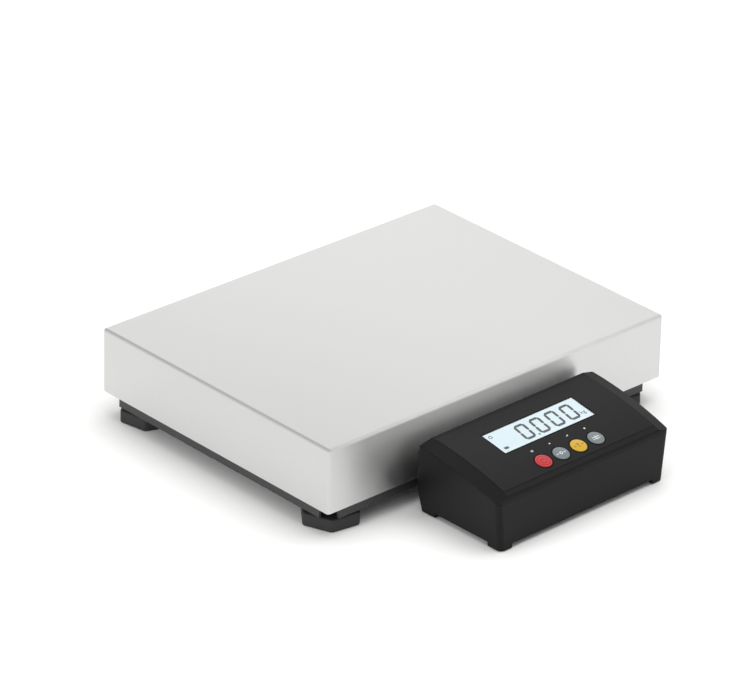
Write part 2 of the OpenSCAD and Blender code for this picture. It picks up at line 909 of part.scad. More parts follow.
module cable_inlet() {
  color([0.1, 0.1, 0.1]) at_indicator() translate([inlet_x, 0, inlet_z]) rotate([-90, 0, 0]) {
    translate([0, 0, ind_d]) difference() {
      union() {
        translate([0, 0, -10]) cylinder(h = 10, r = inlet_r);
        translate([0, 0, 0.2]) cylinder(h = 3, r = inlet_hex_r, $fn = 6);
        cylinder(h = 7, r = inlet_r - 1);
      }
      translate([0, 0, -11]) cylinder(h = 20, r = cord_r);
    }
  }
}

module inlet_nut() {
  color([0.1, 0.1, 0.1]) at_indicator() translate([inlet_x, ind_d - 8.5, inlet_z]) {
    rotate([-90, 0, 0]) nut(inlet_nut_r, 3.5, inlet_r + gap);
  }
}

module shell_screws() {
  color("silver") at_indicator() at_posts() translate([0, 0, boss_top - 4 - 2.5]) {
    cylinder(h = 2.5, r = screw_head_r);
    cylinder(h = 16, r = screw_r);
  }
}

module board_screws() {
  color("silver") at_indicator() {
    on_face(win_s) at_quarters(win_w / 2 + 11, win_h / 2 + 1) board_screw();
    on_face(key_s) at_quarters(1.5 * key_pitch + 15, 6) board_screw();
  }
}

module board_screw() {
  translate([0, 0, -board_drop - board_t - 1.2]) {
    cylinder(h = 1.2, r = 2 * board_screw_r);
    cylinder(h = 1.2 + board_t + 5, r = board_screw_r);
  }
}

module leg_pads() {
  color("black") at_indicator() for (s = [-1, 1], y = [pad_inset, back_seam_y - pad_inset - 0.5]) {
    translate([s * (ind_w / 2 - pad_inset), y, 0]) cylinder(h = pad_h, r = pad_r);
  }
}

pan();
pan_ribs();
pan_rings();
pan_bumpers();
top_rails();
rail_caps();
top_plate();
upper_spacer();
cell_top_bolts();
load_cell();
cell_cover();
lower_spacer();
cell_base_bolts();
base_plate();
base_channels();
stop_screws();
stop_nuts();
weld_nuts();
jam_nuts();
level_body();
level_vial();
cable_grommet();
foot_stud_1();
foot_stud_2();
foot_stud_3();
foot_stud_4();
foot_1();
foot_2();
foot_3();
foot_4();
bottom_shell();
lid();
face_overlay();
display_window();
lcd_glass();
lcd_backlight();
lcd_holder();
display_board();
key_board();
key_switches();
key_power();
key_zero();
key_tare();
key_mode();
buzzer();
battery_pack();
battery_door();
dc_jack();
cable_inlet();
inlet_nut();
shell_screws();
board_screws();
leg_pads();
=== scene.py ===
"""Looks of a bench scale: stainless load pan on a levelling base, with a separate desk indicator."""

import math

import bmesh
import bpy
from bpy.props import FloatProperty, FloatVectorProperty, IntProperty, PointerProperty
from mathutils import Matrix, Vector


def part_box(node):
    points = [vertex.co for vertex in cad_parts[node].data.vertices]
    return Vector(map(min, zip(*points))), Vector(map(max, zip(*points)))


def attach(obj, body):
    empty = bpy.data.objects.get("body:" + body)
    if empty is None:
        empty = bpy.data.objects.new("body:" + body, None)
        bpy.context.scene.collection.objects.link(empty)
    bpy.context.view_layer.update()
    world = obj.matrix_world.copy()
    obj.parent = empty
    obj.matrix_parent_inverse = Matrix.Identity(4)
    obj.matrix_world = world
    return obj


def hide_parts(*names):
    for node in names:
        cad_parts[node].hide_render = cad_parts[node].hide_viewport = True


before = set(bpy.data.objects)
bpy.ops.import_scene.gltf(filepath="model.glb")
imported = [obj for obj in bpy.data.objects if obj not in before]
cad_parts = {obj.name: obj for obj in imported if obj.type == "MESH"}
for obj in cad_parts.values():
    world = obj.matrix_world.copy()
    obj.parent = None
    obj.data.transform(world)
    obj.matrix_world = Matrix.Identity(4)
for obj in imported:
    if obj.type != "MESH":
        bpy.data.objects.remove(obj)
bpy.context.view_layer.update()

bl_info = {
    "name": "Bench scale",
    "version": (1, 0, 0),
    "blender": (4, 5, 0),
    "location": "View3D > Sidebar > Bench scale",
    "description": "Finishes a bench scale and its indicator on their packed frame",
    "category": "Object",
}

MM = 0.001

# The indicator stands turned a little on the table. Its face is bowed about an axis that runs from
# side to side: how far the axis lies behind the front edge and above the table, and the radius.
CASE_TURN = math.radians(1.0)
FACE_AXIS_Y = 124.812 * MM
FACE_AXIS_Z = -322.789 * MM
FACE_RADIUS = 395.0 * MM
# how far behind the front edge the middles of the window and of the keys lie
WINDOW_S = 57.5 * MM
KEY_S = 19.0 * MM
# from one key's middle to the next, and the window's width and depth
KEY_PITCH = 21.3 * MM
WINDOW = Vector((109.0, 29.5)) * MM
# the frame's window: how far it is sunk into the face, and how thick it is
WINDOW_SUNK = 0.5 * MM
WINDOW_THICK = 2.0 * MM


# ---------- colours and finishes ----------


def linear(code):
    """Linear red, green and blue of an sRGB hex colour."""
    parts = [int(code[k : k + 2], 16) / 255 for k in (1, 3, 5)]
    return tuple(c / 12.92 if c <= 0.04045 else ((c + 0.055) / 1.055) ** 2.4 for c in parts)


def colour_property(label, code, words):
    """A colour that a user can change."""
    return FloatVectorProperty(
        name=label, description=words, subtype="COLOR", size=3, min=0, max=1, default=linear(code)
    )


def length_property(label, value_mm, words):
    """A length that a user can change, given in millimetres."""
    return FloatProperty(
        name=label, description=words, unit="LENGTH", subtype="DISTANCE", min=0, default=value_mm * MM
    )


class BenchScaleColours(bpy.types.PropertyGroup):
    """Colours of the scale's materials."""

    steel: colour_property("Stainless steel", "#E6E6E5", "Brushed sheet of the load pan")
    zinc: colour_property("Zinc plate", "#B9BCC0", "Screws, studs and nuts")
    brass: colour_property("Brass", "#C9A656", "Jam nuts of the feet")
    alloy: colour_property("Cell alloy", "#B4B8BE", "Milled load cell")
    frame_paint: colour_property("Frame paint", "#4A4D52", "Powder coat under the pan")
    base_paint: colour_property("Base paint", "#2A2B2C", "Powder coat on the folded base")
    rubber: colour_property("Rubber", "#2A2A2B", "Feet, pads, bumpers and grommet")
    case: colour_property("Case", "#141415", "Moulded shells of the indicator")
    film: colour_property("Face film", "#0A0A0B", "Printed film on the indicator's face")
    ink: colour_property("Print", "#E8E8E6", "Marks printed on the film and keys")
    # painted shade: black lines that stand for the shade in the window's recess and round the keys
    painted_recess_shade: colour_property("Black print", "#050506", "Lines round the keys and the window")
    dark_ink: colour_property("Dark print", "#5A140E", "Signs printed on the red and yellow keys")
    screen: colour_property("Screen", "#D6EAF4", "Lit background of the display")
    segments: colour_property("Segments", "#060A26", "Dark segments of the display")
    red: colour_property("Red key", "#BE2026", "Power key")
    grey: colour_property("Grey keys", "#6A7376", "Zero and mode keys")
    yellow: colour_property("Yellow key", "#C09812", "Tare key")
    board: colour_property("Circuit board", "#1E5A34", "Solder mask")
    table: colour_property("Table", "#F4F4F3", "Floor under the scale")


class BenchScaleSizes(bpy.types.PropertyGroup):
    """Sizes of the details that the looks add."""

    pan_bend: length_property("Pan bend", 3.0, "Outer radius along the pan's folded edges")
    pan_sheet: length_property("Pan sheet", 1.2, "Thickness of the stainless sheet")
    foot_corner: length_property("Foot corner", 4.0, "Radius of a foot's upright corners")
    foot_rim: length_property("Foot rim", 1.5, "Round on a foot's upper and lower rims")
    digit_height: length_property("Digit height", 21.4, "Height of the display's digits")
    digit_width: length_property("Digit width", 9.9, "Width between stroke centres of a digit")
    digit_pitch: length_property("Digit pitch", 18.2, "Distance from one digit to the next")
    stroke: length_property("Stroke", 2.7, "Width of a digit's segments")
    slant: FloatProperty(
        name="Slant", description="Lean of the digits", subtype="ANGLE", default=math.radians(5)
    )
    digits: IntProperty(name="Digits", description="How many digits show", default=4, min=1, max=6)
    key_rim: length_property("Key rim", 0.45, "Round on a key's upper edge")


def ink(name):
    """Colour of that name as red, green, blue and alpha."""
    return (*getattr(bpy.context.scene.bench_scale_colours, name), 1.0)


def add_node(tree, kind, inputs=None, **settings):
    """Adds one node with its settings, and feeds its inputs with values or other nodes' outputs."""
    made = tree.nodes.new(kind)
    for key, value in settings.items():
        setattr(made, key, value)
    for key, value in (inputs or {}).items():
        if isinstance(value, bpy.types.NodeSocket):
            tree.links.new(value, made.inputs[key])
        else:
            made.inputs[key].default_value = value
    return made


def shade(colour, factor):
    """The colour made lighter or darker by a factor, kept opaque."""
    return (*(min(1.0, c * factor) for c in colour[:3]), 1.0)


def grain_noise(tree, sizes, along):
    """Noise with a grain of that size along each axis of the named coordinates."""
    place = add_node(tree, "ShaderNodeTexCoord")
    laid = add_node(tree, "ShaderNodeMapping", {
        "Vector": place.outputs[along], "Scale": [1 / size for size in sizes]
    })
    return add_node(
        tree, "ShaderNodeTexNoise", {"Vector": laid.outputs[0], "Scale": 1.0, "Detail": 3.0}
    )


def finish(
    name, colour, rough, grain, relief,
    stretch=(1, 1, 1), tone=0.06, sheen=0.08, along="Object", **shader
):
    """One finish: colour and roughness vary with a grain of real size, which also has relief.

    grain and relief are in millimetres, stretch draws the grain out along each axis, tone and
    sheen say how far the colour and the roughness vary, along names the coordinates that the
    grain follows, and the rest goes to the shader as it is.
    """
    if name in bpy.data.materials:
        return bpy.data.materials[name]
    material = bpy.data.materials.new(name)
    material.use_nodes = True
    tree = material.node_tree
    base = ink(colour)
    noise = grain_noise(tree, [grain * MM * s for s in stretch], along)
    blend = add_node(tree, "ShaderNodeMixRGB", {
        "Fac": noise.outputs["Fac"], "Color1": shade(base, 1 - tone), "Color2": shade(base, 1 + tone)
    })
    gloss = add_node(tree, "ShaderNodeMapRange", {
        "Value": noise.outputs["Fac"], "To Min": rough - sheen, "To Max": rough + sheen
    })
    bump = add_node(
        tree, "ShaderNodeBump", {"Height": noise.outputs["Fac"], "Distance": relief * MM}
    )
    principled = tree.nodes["Principled BSDF"]
    tree.links.new(blend.outputs[0], principled.inputs["Base Color"])
    tree.links.new(gloss.outputs[0], principled.inputs["Roughness"])
    tree.links.new(bump.outputs[0], principled.inputs["Normal"])
    for key, value in shader.items():
        principled.inputs[key.replace("_", " ")].default_value = value
    return material


def brushed_sheet():
    """304 stainless sheet, brushed in long strokes along each face: fine streaks that draw
    reflections out across them and keep them sharper along them. Real strokes are about 0.05 mm
    wide, too fine to show, so they are drawn at 0.6 mm."""
    name = "brushed_stainless_304"
    if name in bpy.data.materials:
        return bpy.data.materials[name]
    material = finish(
        name, "steel", 0.42, 0.6, 0.004, (160, 1, 1), tone=0.03, sheen=0.05, along="UV", Metallic=1.0
    )
    tree = material.node_tree
    strokes = add_node(tree, "ShaderNodeTangent", direction_type="UV_MAP", uv_map="brush")
    principled = tree.nodes["Principled BSDF"]
    tree.links.new(strokes.outputs[0], principled.inputs["Tangent"])
    principled.inputs["Anisotropic"].default_value = 0.92
    principled.inputs["Anisotropic Rotation"].default_value = 0.25
    return material


def lit_screen():
    """Liquid crystal glass with a lit guide behind it: a pale glow that varies faintly and slowly
    over the glass, under a smooth polariser."""
    name = "lit_liquid_crystal"
    if name in bpy.data.materials:
        return bpy.data.materials[name]
    material = bpy.data.materials.new(name)
    material.use_nodes = True
    tree = material.node_tree
    place = add_node(tree, "ShaderNodeTexCoord")
    clouds_a_metre = (9, 9, 9)
    laid = add_node(tree, "ShaderNodeMapping", {
        "Vector": place.outputs["Object"], "Scale": clouds_a_metre
    })
    cloud = add_node(tree, "ShaderNodeTexNoise", {"Vector": laid.outputs[0], "Scale": 1.0})
    glow = add_node(tree, "ShaderNodeMixRGB", {
        "Fac": cloud.outputs["Fac"],
        "Color1": shade(ink("screen"), 0.94),
        "Color2": shade(ink("screen"), 1.06),
    })
    principled = tree.nodes["Principled BSDF"]
    tree.links.new(glow.outputs[0], principled.inputs["Emission Color"])
    principled.inputs["Base Color"].default_value = shade(ink("screen"), 0.25)
    principled.inputs["Emission Strength"].default_value = 1.08
    principled.inputs["Roughness"].default_value = 0.25
    return material


def clear_acrylic():
    """Clear cast acrylic sheet: faint sharp reflections over a view straight through."""
    name = "clear_acrylic"
    if name in bpy.data.materials:
        return bpy.data.materials[name]
    material = finish(name, "ink", 0.0, 6.0, 0.0005, tone=0.01, sheen=0.0)
    principled = material.node_tree.nodes["Principled BSDF"]
    principled.inputs["Transmission Weight"].default_value = 1.0
    principled.inputs["IOR"].default_value = 1.49
    principled.inputs["Specular IOR Level"].default_value = 0.2
    return material


def make_finishes():
    """Makes every finish once and returns them by name."""
    made = [
        brushed_sheet(),
        # the same sheet where it was left as rolled, on ribs and rings: a plain satin grey
        finish("rolled_stainless_304", "steel", 0.38, 2.5, 0.004, tone=0.05, Metallic=1.0),
        # bright zinc plate on machined steel: cool grey with a faint cloudiness
        finish("bright_zinc_plate", "zinc", 0.28, 2.0, 0.003, tone=0.10, Metallic=1.0),
        # turned yellow brass: warm and glossy, with fine turning marks
        finish("turned_brass", "brass", 0.26, 0.5, 0.004, (1, 1, 4), 0.10, Metallic=1.0),
        # milled 2024 aluminium, clear anodised: pale satin with cutter marks 0.8 mm apart
        finish("milled_aluminium", "alloy", 0.38, 0.8, 0.006, (20, 1, 1), 0.07, Metallic=1.0),
        # powder coat over steel, baked: slight orange peel of about 1.2 mm that breaks the highlights
        finish("grey_powder_coat", "frame_paint", 0.42, 1.2, 0.02, tone=0.05),
        finish("black_powder_coat", "base_paint", 0.40, 1.2, 0.02, tone=0.08),
        # moulded natural and nitrile rubber: matt, slightly dusty black with a fine skin
        finish("moulded_rubber", "rubber", 0.72, 1.0, 0.015, tone=0.14),
        # cast silicone sealant over the strain gauges: soft off-white skin with slow waves
        finish("cast_silicone", "ink", 0.45, 4.0, 0.15, tone=0.03),
        # injection moulded ABS with a spark eroded grain: satin black; the real grain is 0.1 mm and
        # is drawn at 0.7 mm
        finish("spark_textured_abs", "case", 0.46, 0.7, 0.012, tone=0.08, Specular_IOR_Level=0.15),
        # polyester film with a fine velvet top coat: a darker black than the case, with a wide
        # soft shine
        finish("velvet_polyester_film", "film", 0.55, 0.6, 0.004, tone=0.04, Specular_IOR_Level=0.32),
        # screen printed ink: flat and opaque
        finish("screen_print", "ink", 0.55, 0.5, 0.002, tone=0.05),
        # painted shade on the film: black lines, smoother than the film round them, that stand for the
        # shade in the window's recess and round the keys
        finish("black_print", "painted_recess_shade", 0.30, 0.5, 0.001, tone=0.05, Specular_IOR_Level=0.1),
        # dark red ink for the signs on the red and yellow keys
        finish("dark_print", "dark_ink", 0.45, 0.5, 0.002, tone=0.06),
        # liquid crystal segments seen dark against the light
        finish("dark_segments", "segments", 0.5, 3.0, 0.001, tone=0.08, Specular_IOR_Level=0.05),
        # glass filled nylon, moulded: black with a faint swirl
        finish("moulded_nylon", "rubber", 0.50, 1.5, 0.01, tone=0.12),
        # opal acrylic light guide: milky white
        finish("opal_acrylic", "ink", 0.30, 5.0, 0.002, tone=0.02),
        # solder mask over glass epoxy: glossy green with the weave of the cloth faintly through it
        finish("solder_mask", "board", 0.32, 0.9, 0.01, tone=0.18),
        # moulded silicone keys with a hard lacquer: smooth with a soft sheen
        finish("red_silicone", "red", 0.36, 1.0, 0.003, tone=0.04, Coat_Weight=0.3),
        finish("grey_silicone", "grey", 0.36, 1.0, 0.003, tone=0.04, Coat_Weight=0.3),
        finish("yellow_silicone", "yellow", 0.36, 1.0, 0.003, tone=0.04, Coat_Weight=0.3),
        lit_screen(),
        clear_acrylic(),
    ]
    return {m.name: m for m in made}


# ---------- modelling helpers ----------


def start():
    """Leaves edit mode and deselects everything."""
    if bpy.context.object and bpy.context.object.mode != "OBJECT":
        bpy.ops.object.mode_set(mode="OBJECT")
    bpy.ops.object.select_all(action="DESELECT")


def hold(piece):
    """Makes one object the only selected and active one."""
    start()
    piece.select_set(True)
    bpy.context.view_layer.objects.active = piece


def settle(piece):
    """Puts an object's place, turn and size into its mesh."""
    hold(piece)
    bpy.ops.object.transform_apply(location=True, rotation=True, scale=True)
    return piece


def block(name, size, at=(0, 0, 0)):
    """A box of that size about a point."""
    start()
    bpy.ops.mesh.primitive_cube_add(size=1, location=at, scale=size)
    bpy.context.object.name = name
    return settle(bpy.context.object)


def disc(name, radius, depth, at=(0, 0, 0), sides=64, turn=0.0):
    """An upright round or many-sided bar about a point."""
    start()
    bpy.ops.mesh.primitive_cylinder_add(
        vertices=sides, radius=radius, depth=depth, location=at, rotation=(0, 0, turn)
    )
    bpy.context.object.name = name
    return settle(bpy.context.object)


def pick(piece, kind, test):
    """Opens a piece for editing with only the faces, edges or vertices that pass the test selected."""
    hold(piece)
    bpy.ops.object.mode_set(mode="EDIT")
    bpy.ops.mesh.select_mode(type={"faces": "FACE", "edges": "EDGE", "verts": "VERT"}[kind])
    bpy.ops.mesh.select_all(action="DESELECT")
    mesh = bmesh.from_edit_mesh(piece.data)
    chosen = [part for part in getattr(mesh, kind) if test(part)]
    for part in chosen:
        part.select_set(True)
    mesh.select_flush_mode()
    bmesh.update_edit_mesh(piece.data)
    if not chosen:
        raise RuntimeError(f"nothing on {piece.name} passed the test for {kind}")


def upright(edge):
    """True for an edge that runs straight up or down."""
    run = edge.verts[1].co - edge.verts[0].co
    return abs(run.z) > 0.99 * run.length


def smooth(piece, degrees=30):
    """Shades a piece smooth except over edges sharper than the angle."""
    hold(piece)
    bpy.ops.object.shade_smooth_by_angle(angle=math.radians(degrees))
    return piece


def modify(piece, kind, **settings):
    """Adds a modifier and applies it."""
    hold(piece)
    added = piece.modifiers.new(kind.lower(), kind)
    for key, value in settings.items():
        setattr(added, key, value)
    bpy.ops.object.modifier_apply(modifier=added.name)
    return piece


def round_edges(piece, width, degrees=40, segments=2):
    """Rounds every edge sharper than the angle."""
    return modify(
        piece, "BEVEL", width=width, segments=segments, limit_method="ANGLE",
        angle_limit=math.radians(degrees),
    )


def join(name, pieces):
    """Joins pieces into one."""
    hold(pieces[0])
    for piece in pieces[1:]:
        piece.select_set(True)
    if len(pieces) > 1:
        bpy.ops.object.join()
    bpy.context.object.name = name
    return bpy.context.object


def twin(piece, matrix):
    """A copy with its own mesh, moved by a matrix."""
    hold(piece)
    bpy.ops.object.duplicate(linked=False)
    copy = bpy.context.object
    copy.matrix_world = matrix @ copy.matrix_world
    return settle(copy)


def drop(piece):
    """Removes a piece that was only a pattern or a cutter."""
    hold(piece)
    bpy.ops.object.delete()


def cut(piece, cutter):
    """Cuts one piece with another and removes the cutter."""
    modify(piece, "BOOLEAN", object=cutter, operation="DIFFERENCE", solver="EXACT")
    drop(cutter)
    return piece


def place(piece, matrix):
    """Moves a finished piece and puts the move into its mesh."""
    piece.matrix_world = matrix @ piece.matrix_world
    return settle(piece)


def give(piece, material, body, slot, *nodes):
    """Gives a piece its finish and body, and hides the nodes it stands for. Its slot is not used."""
    piece.data.materials.clear()
    piece.data.materials.append(bpy.data.materials[material])
    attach(piece, body)
    if nodes:
        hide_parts(*nodes)
    return piece


def over_face(x, s, up):
    """Matrix that stands a piece up above the face of an indicator that isn't turned or moved."""
    tilt = math.asin((FACE_AXIS_Y - s) / FACE_RADIUS)
    return (
        Matrix.Translation((0, FACE_AXIS_Y, FACE_AXIS_Z))
        @ Matrix.Rotation(tilt, 4, "X")
        @ Matrix.Translation((x, 0, FACE_RADIUS + up))
    )


def on_face(x, s, up=0.0):
    """Matrix that stands a piece on the indicator's face, at x from its middle and s from its front.

    The indicator's place on the table follows from where the frame's window is.
    """
    turned = Matrix.Rotation(CASE_TURN, 4, "Z")
    low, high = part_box("display_window")
    sunk = WINDOW_SUNK + WINDOW_THICK / 2
    shift = (low + high) / 2 - turned @ over_face(0, WINDOW_S, -sunk).to_translation()
    return Matrix.Translation((shift.x, shift.y, 0)) @ turned @ over_face(x, s, up)


# ---------- platform ----------


def lay_brush_lines(piece):
    """Unwraps each face of the pan flat, so that the brush lines run along its longer direction."""
    hold(piece)
    layer = piece.data.uv_layers.new(name="brush")
    for face in piece.data.polygons:
        across = max(range(3), key=lambda k: abs(face.normal[k]))
        u, v = {0: (1, 2), 1: (0, 2), 2: (0, 1)}[across]
        for corner in face.loop_indices:
            at = piece.data.vertices[piece.data.loops[corner].vertex_index].co
            layer.data[corner].uv = (at[u], at[v])


class BENCH_SCALE_OT_load_pan(bpy.types.Operator):
    """Folds the load pan from one sheet, with round bends and welded corners"""

    bl_idname = "bench_scale.load_pan"
    bl_label = "Load pan"

    def execute(self, context):
        sizes = context.scene.bench_scale_sizes
        low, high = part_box("pan")
        pan = block("load_pan", high - low, (low + high) / 2)
        pick(pan, "faces", lambda f: f.normal.z < -0.9)
        bpy.ops.mesh.delete(type="ONLY_FACE")
        pick(pan, "edges", lambda e: len(e.link_faces) == 2)
        bpy.ops.mesh.bevel(offset=sizes.pan_bend, segments=8, affect="EDGES")
        bpy.ops.object.mode_set(mode="OBJECT")
        modify(pan, "SOLIDIFY", thickness=sizes.pan_sheet, offset=-1.0, use_even_offset=True)
        lay_brush_lines(pan)
        smooth(pan, 35)
        give(pan, "brushed_stainless_304", "pan", "pan_steel", "pan")
        return {"FINISHED"}


# each foot's turn, in degrees, when it is screwed to its level
FOOT_TURNS = {1: 51.0, 2: 47.0, 3: 20.0, 4: 40.0}
# a foot's radius over its round corners, and half the turn from one of its sides to the next
FOOT_RADIUS = 28.0 * MM
HALF_CORNER = math.pi / 6
# the stud stands in a hole that begins this high in the foot and is this much wider all round
STUD_SEAT = 5.0 * MM
STUD_PLAY = 0.05 * MM


def levelling_foot(number, sizes):
    """A six-sided foot on its stud's place, as it is turned, with the stud's hole in its top."""
    low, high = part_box(f"foot_{number}")
    stud_low, stud_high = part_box(f"foot_stud_{number}")
    centre = (stud_low + stud_high) / 2
    corner = sizes.foot_corner
    outer = FOOT_RADIUS - corner + corner / math.cos(HALF_CORNER)
    foot = disc(
        f"levelling_foot_{number}", outer, high.z - low.z,
        (centre.x, centre.y, (low.z + high.z) / 2), 6, math.radians(FOOT_TURNS[number] + 90),
    )
    pick(foot, "edges", upright)
    bpy.ops.mesh.bevel(offset=corner * math.tan(HALF_CORNER), segments=6, affect="EDGES")
    bpy.ops.object.mode_set(mode="OBJECT")
    round_edges(foot, sizes.foot_rim, 60, 3)
    hole = (stud_high.x - stud_low.x) / 2 + STUD_PLAY
    cut(foot, disc("bore", hole, high.z, (centre.x, centre.y, high.z / 2 + STUD_SEAT), 48))
    return smooth(foot, 35)


class BENCH_SCALE_OT_feet(bpy.types.Operator):
    """Moulds the four six-sided rubber feet with round corners and rims"""

    bl_idname = "bench_scale.feet"
    bl_label = "Levelling feet"

    def execute(self, context):
        for number in FOOT_TURNS:
            foot = levelling_foot(number, context.scene.bench_scale_sizes)
            give(foot, "moulded_rubber", f"foot_{number}", "foot_rubber", f"foot_{number}")
        return {"FINISHED"}


# ---------- indicator ----------


# the display's layers: how far the middle of each lies below the face, and how thick it is
PANE_DEPTH = 0.8 * MM
PANE = 0.8 * MM
GLASS_DEPTH = 1.6 * MM
GLASS = 0.4 * MM
SEGMENT = 0.06 * MM
# the pane's rounded edge, the glass's play in the window, and the segments' height over the glass
PANE_EDGE = 0.15 * MM
GLASS_PLAY = 0.1 * MM
SEGMENT_LIFT = 0.02 * MM
# the gap between the ends of a digit's segments, and how far their corners are cut to a point, as a
# share of their width
SEGMENT_GAP = 0.3 * MM
SEGMENT_POINT = 0.42

# sizes and places of what the display shows, from its middle
FIRST_DIGIT = -16.7 * MM
POINT = 1.8 * MM
POINT_AT = Vector((-7.9, -9.5, 0)) * MM
RING_OUTER = 2.1 * MM
RING_INNER = 1.3 * MM
RING_AT = Vector((-49.0, 9.5, 0)) * MM
CELL = Vector((4.4, 3.0)) * MM
CELL_AT = Vector((-47.6, -9.1, 0)) * MM
CELL_TIP = Vector((0.8, 1.4)) * MM
CELL_TIP_AT = Vector((-45.0, -9.1, 0)) * MM
UNIT_SIZE = 6.6 * MM
UNIT_AT = Vector((45.2, -8.0, 0)) * MM


def ring(name, outer, inner, thick, sides=32):
    """A flat ring about the origin."""
    made = disc(name, outer, thick, sides=sides)
    return cut(made, disc("inner", inner, thick * 4, sides=sides))


def segment(name, length, stroke):
    """One segment of a digit: a bar along x with pointed ends."""
    bar = block(name, (length, stroke, SEGMENT))
    pick(bar, "edges", upright)
    bpy.ops.mesh.bevel(offset=stroke * SEGMENT_POINT, segments=1, affect="EDGES")
    bpy.ops.object.mode_set(mode="OBJECT")
    return bar


def zero_digit(sizes):
    """A zero in six segments about its own middle, leaning to the right."""
    width, height, stroke = sizes.digit_width, sizes.digit_height - sizes.stroke, sizes.stroke
    flat = segment("flat", width - SEGMENT_GAP, stroke)
    tall = segment("tall", height / 2 - SEGMENT_GAP, stroke)
    stand = Matrix.Rotation(math.pi / 2, 4, "Z")
    parts = [twin(flat, Matrix.Translation((0, s * height / 2, 0))) for s in (-1, 1)]
    for sx in (-1, 1):
        for sy in (-1, 1):
            at = Matrix.Translation((sx * width / 2, sy * height / 4, 0))
            parts.append(twin(tall, at @ stand))
    drop(flat)
    drop(tall)
    zero = join("zero", parts)
    lean = Matrix.Identity(4)
    lean[0][1] = math.tan(sizes.slant)
    zero.data.transform(lean)
    return zero


def digit_row(sizes):
    """The row of zeros."""
    zero = zero_digit(sizes)
    row = []
    for k in range(sizes.digits):
        row.append(twin(zero, Matrix.Translation((FIRST_DIGIT + k * sizes.digit_pitch, 0, 0))))
    drop(zero)
    return row


def small_signs():
    """The square point, a small ring and the battery sign."""
    return [
        block("point", (POINT, POINT, SEGMENT), POINT_AT),
        place(ring("ring_sign", RING_OUTER, RING_INNER, SEGMENT, 8), Matrix.Translation(RING_AT)),
        block("cell_sign", (CELL.x, CELL.y, SEGMENT), CELL_AT),
        block("cell_tip", (CELL_TIP.x, CELL_TIP.y, SEGMENT), CELL_TIP_AT),
    ]


def unit_sign():
    """The unit, kg, as a thin solid."""
    start()
    bpy.ops.object.text_add(location=UNIT_AT)
    unit = bpy.context.object
    unit.data.body = "kg"
    unit.data.size = UNIT_SIZE
    bpy.ops.object.convert(target="MESH")
    unit = settle(bpy.context.object)
    return modify(unit, "SOLIDIFY", thickness=SEGMENT, offset=0.0)


class BENCH_SCALE_OT_display(bpy.types.Operator):
    """Lays the lit glass, its dark segments and the clear window into the face"""

    bl_idname = "bench_scale.display"
    bl_label = "Display"

    def execute(self, context):
        window = block("window_pane", (WINDOW.x, WINDOW.y, PANE))
        round_edges(window, PANE_EDGE)
        place(window, on_face(0, WINDOW_S, -PANE_DEPTH))
        give(window, "clear_acrylic", "indicator", "window", "display_window")
        glass = block("lit_glass", (WINDOW.x - GLASS_PLAY, WINDOW.y - GLASS_PLAY, GLASS))
        place(glass, on_face(0, WINDOW_S, -GLASS_DEPTH))
        give(glass, "lit_liquid_crystal", "indicator", "lcd", "lcd_glass")
        parts = digit_row(context.scene.bench_scale_sizes) + small_signs() + [unit_sign()]
        marks = join("segments", parts)
        up = -GLASS_DEPTH + (GLASS + SEGMENT) / 2 + SEGMENT_LIFT
        place(marks, on_face(0, WINDOW_S, up))
        give(marks, "dark_segments", "indicator", "lcd")
        return {"FINISHED"}


# the keys from left to right, and the colour of each
KEYS = {"power": "red", "zero": "grey", "tare": "yellow", "mode": "grey"}
# a key's cap: its height over the face, its whole height and its radius
KEY_PROUD = 0.5 * MM
KEY_CAP = 3.6 * MM
KEY_RADIUS = 7.7 * MM
# the flange behind the face, and the stem that starts a little inside it and presses the switch
KEY_FLANGE = 1.0 * MM
KEY_FLANGE_RADIUS = 8.9 * MM
KEY_STEM = 4.0 * MM
KEY_STEM_RADIUS = 2.5 * MM
KEY_STEM_IN = 0.15 * MM

# thickness of the ink on the keys, and the width of a sign's lines in millimetres
KEY_INK = 0.05 * MM
LINE = 0.55


def key_x(number):
    """How far the middle of a key, counted from 0 at the left, lies right of the face's middle."""
    return (number - (len(KEYS) - 1) / 2) * KEY_PITCH


def key_cap(name, rim):
    """A key with its rim rounded, its flange and its stem, about its place on the face."""
    low = KEY_PROUD - KEY_CAP
    cap = disc(name, KEY_RADIUS, KEY_CAP, (0, 0, low + KEY_CAP / 2))
    pick(cap, "faces", lambda f: f.normal.z > 0.9)
    bpy.ops.mesh.bevel(offset=rim, segments=4, affect="EDGES")
    bpy.ops.object.mode_set(mode="OBJECT")
    flange = disc("flange", KEY_FLANGE_RADIUS, KEY_FLANGE, (0, 0, low - KEY_FLANGE / 2))
    stem_at = low - KEY_FLANGE + KEY_STEM_IN - KEY_STEM / 2
    stem = disc("stem", KEY_STEM_RADIUS, KEY_STEM, (0, 0, stem_at), 32)
    return smooth(join(name, [cap, flange, stem]))


def bar(name, width, height, ink_thick, x=0.0, y=0.0):
    """A printed bar; its width, height and place are in millimetres."""
    return block(name, (width * MM, height * MM, ink_thick), (x * MM, y * MM, 0))


def side_arms():
    """The two short lines left and right of a sign."""
    length, at = 2.6, 4.1
    return [bar("arm", length, LINE, KEY_INK, side * at) for side in (-1, 1)]


def power_sign():
    """A ring that is open at its top, a line through the gap, and a thin ring round the cap."""
    outer, inner, gap, gap_at = 3.2, 2.6, 1.8, 3.0
    stem, stem_at = 3.2, 1.8
    rim_outer, rim_inner = 5.9, 5.4
    arc = ring("arc", outer * MM, inner * MM, KEY_INK, 40)
    cut(arc, bar("gap", gap, gap_at, KEY_INK * 4, y=gap_at))
    line = bar("stem", LINE, stem, KEY_INK, y=stem_at)
    return [arc, line, ring("rim", rim_outer * MM, rim_inner * MM, KEY_INK, 48)]


def zero_sign():
    """A small ring between two lines."""
    outer, inner = 1.6, 1.05
    return side_arms() + [ring("nought", outer * MM, inner * MM, KEY_INK)]


